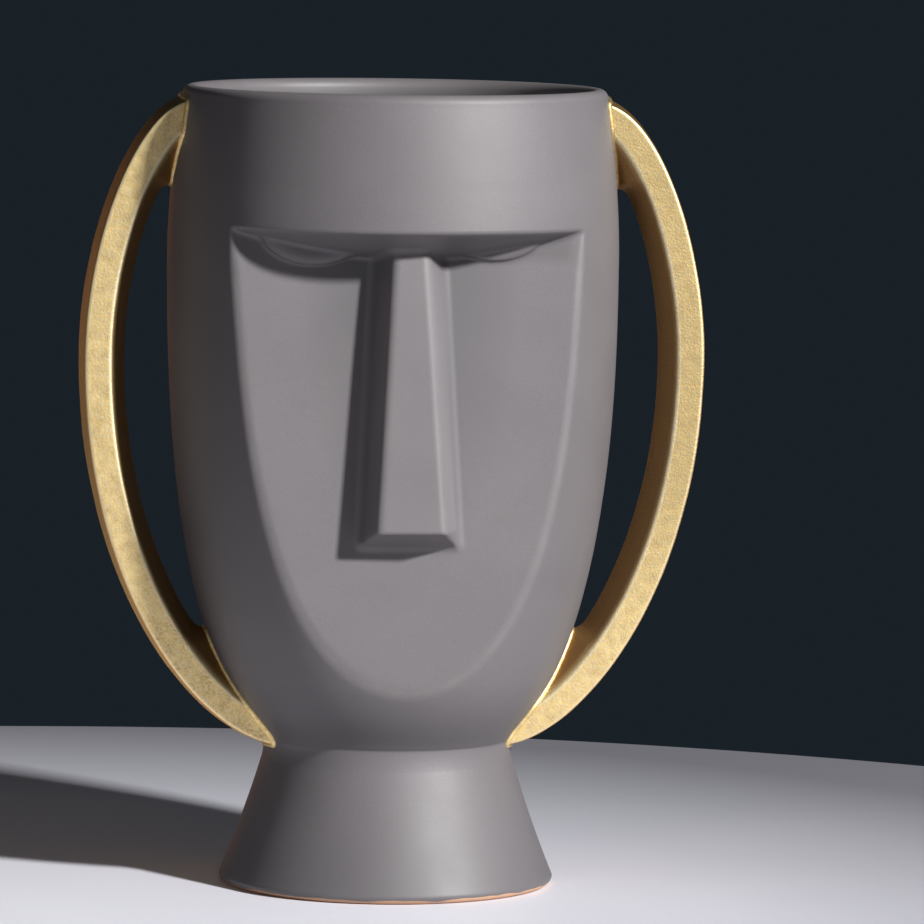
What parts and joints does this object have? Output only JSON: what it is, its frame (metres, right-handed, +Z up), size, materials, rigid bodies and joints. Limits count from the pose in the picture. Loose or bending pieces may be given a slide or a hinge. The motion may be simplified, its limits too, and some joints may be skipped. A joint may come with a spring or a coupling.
{
  "type": "face flower pot",
  "caption": "Upright ceramic flower pot shaped as an abstract head on a flared foot, with a flat recessed face, a wedge nose and gold strap handles at the sides.",
  "frame": {"origin": "middle of the foot's standing edge, in the plane of the surface that the pot stands on", "axes": "+Z up, the face looks along -Y, the handles stand out along -X (left as seen from the front) and +X (right)"},
  "size_m": [0.1968, 0.1411, 0.25],
  "materials": {
    "grey_glaze": "matte warm-grey glaze on slip-cast stoneware, bare clay on the foot's standing edge",
    "gold_lustre": "satin gold lustre fired over glazed stoneware, finely pitted, worn bright on the arrises"
  },
  "bodies": {
    "root": {"head_shell": "grey_glaze", "pedestal_foot": "grey_glaze", "neck_slip_ring": "grey_glaze", "left_handle": "gold_lustre", "right_handle": "gold_lustre", "left_upper_lute": "gold_lustre", "left_lower_lute": "gold_lustre", "right_upper_lute": "gold_lustre", "right_lower_lute": "gold_lustre"}
  },
  "joints": []
}
